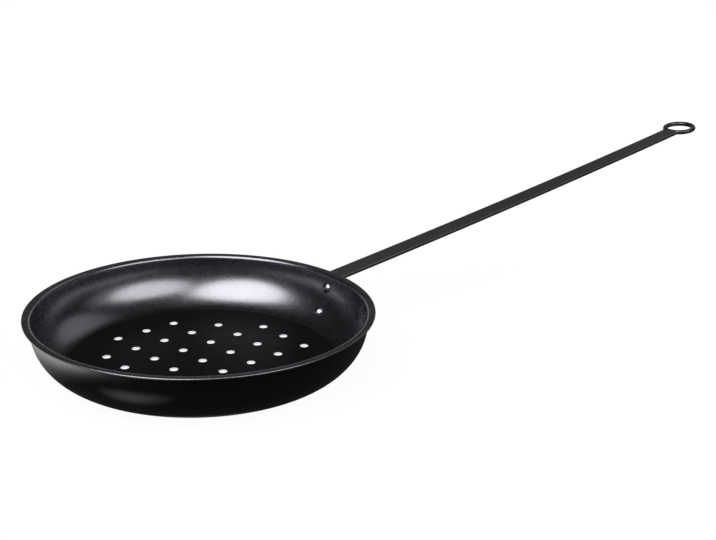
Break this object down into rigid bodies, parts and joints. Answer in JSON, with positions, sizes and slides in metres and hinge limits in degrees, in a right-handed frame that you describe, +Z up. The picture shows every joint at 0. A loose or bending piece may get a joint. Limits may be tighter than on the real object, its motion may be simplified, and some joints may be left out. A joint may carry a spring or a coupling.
{
  "type": "chestnut roasting pan",
  "caption": "Shallow round sheet-steel pan with a perforated flat base, riveted to a long flat bar handle with a welded hanging ring, for roasting chestnuts over a flame.",
  "frame": {"origin": "middle of the bowl's flat resting face, on the bowl's axis", "axes": "+X from the bowl's axis along the handle to the ring, +Z up out of the bowl, +Y to the left as seen along +X"},
  "size_m": [0.8178, 0.28, 0.1133],
  "materials": {
    "bowl_coating": "satin-gloss black non-stick coating on sheet steel",
    "handle_coating": "matt dark grey powder coating on steel",
    "rivet_steel": "smooth bright steel"
  },
  "bodies": {
    "root": {"pan_bowl": "bowl_coating", "handle_bar": "handle_coating", "hanging_ring": "handle_coating", "ring_weld": "handle_coating", "upper_rivet": "rivet_steel", "lower_rivet": "rivet_steel"}
  },
  "joints": []
}
